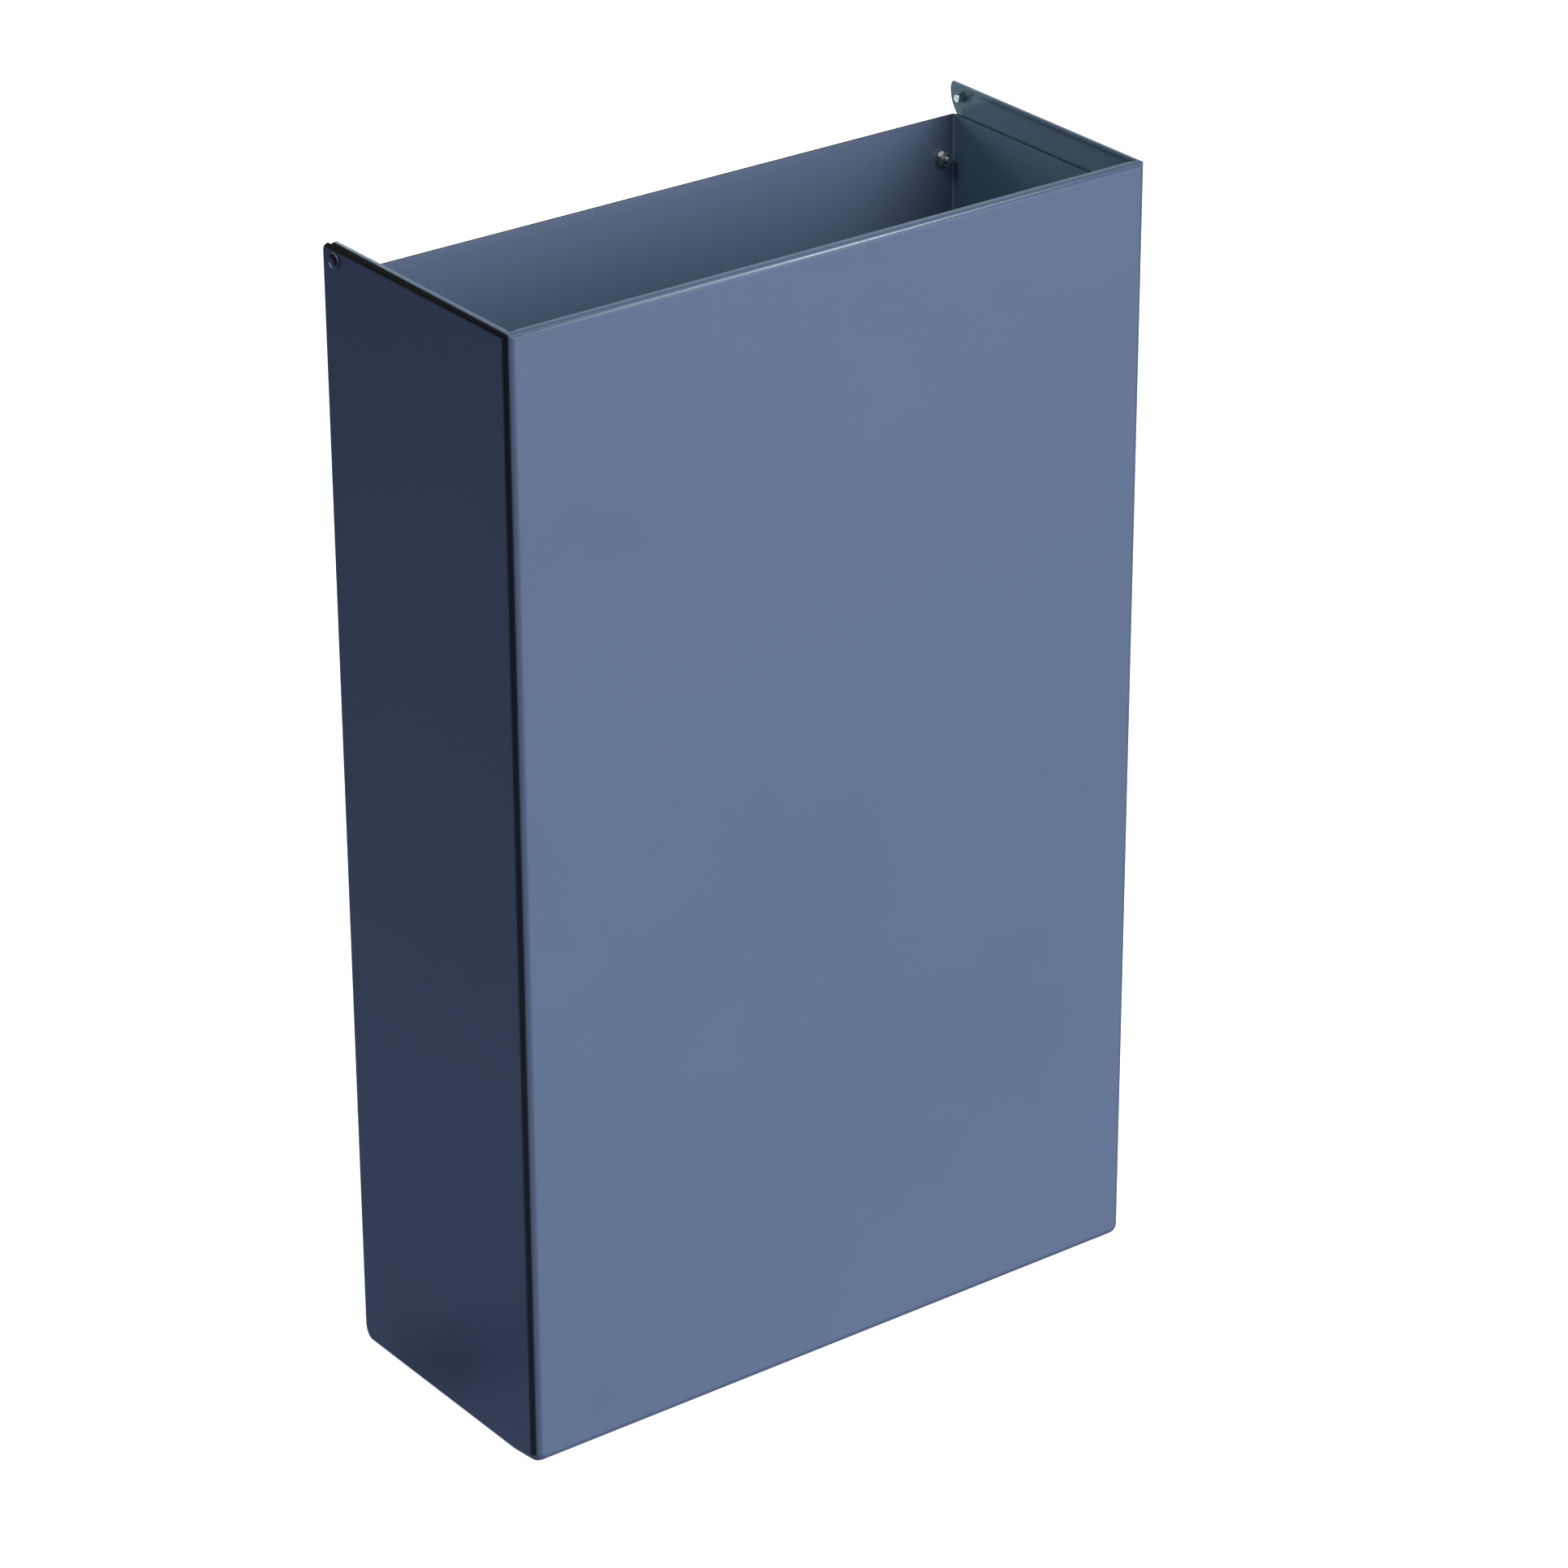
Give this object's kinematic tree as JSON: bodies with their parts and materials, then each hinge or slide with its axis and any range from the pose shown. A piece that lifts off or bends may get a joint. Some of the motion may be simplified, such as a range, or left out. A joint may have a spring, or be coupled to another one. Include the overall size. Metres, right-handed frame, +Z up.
{
  "type": "wall-hung sheet-metal litter bin body",
  "caption": "Tall shallow powder-coated steel bin body, open at the top, that hangs on pins through its rear ears and swings out from the wall to empty.",
  "frame": {"origin": "middle of the underside of the whole object: half way across its width, half way along its depth, at the lowest face", "axes": "X to the right seen from the front, Y from the front towards the wall, Z up from the base to the open top"},
  "size_m": [0.405, 0.162, 0.64],
  "materials": {
    "powder_coat": "blue-grey powder coat, satin, with a very fine texture, on bent steel sheet",
    "pin_steel": "turned steel pin, bright at its tip, with its head painted like the sheet",
    "zinc_steel": "bright zinc-plated steel fastener"
  },
  "bodies": {
    "pivot_pins": {"left_pivot_pin": "pin_steel", "right_pivot_pin": "pin_steel"},
    "bin_body": {"bin_shell": "powder_coat", "back_panel": "powder_coat", "rear_strap": "powder_coat", "left_strap_screw": "zinc_steel", "right_strap_screw": "zinc_steel", "left_strap_washer": "zinc_steel", "right_strap_washer": "zinc_steel", "left_strap_nut": "zinc_steel", "right_strap_nut": "zinc_steel"}
  },
  "joints": [
    {"name": "bin_swing", "type": "hinge", "parent": "pivot_pins", "child": "bin_body", "pos_m": [0, 0.07, 0.6322], "axis": [-1, 0, 0], "range_deg": [0, 90]}
  ]
}
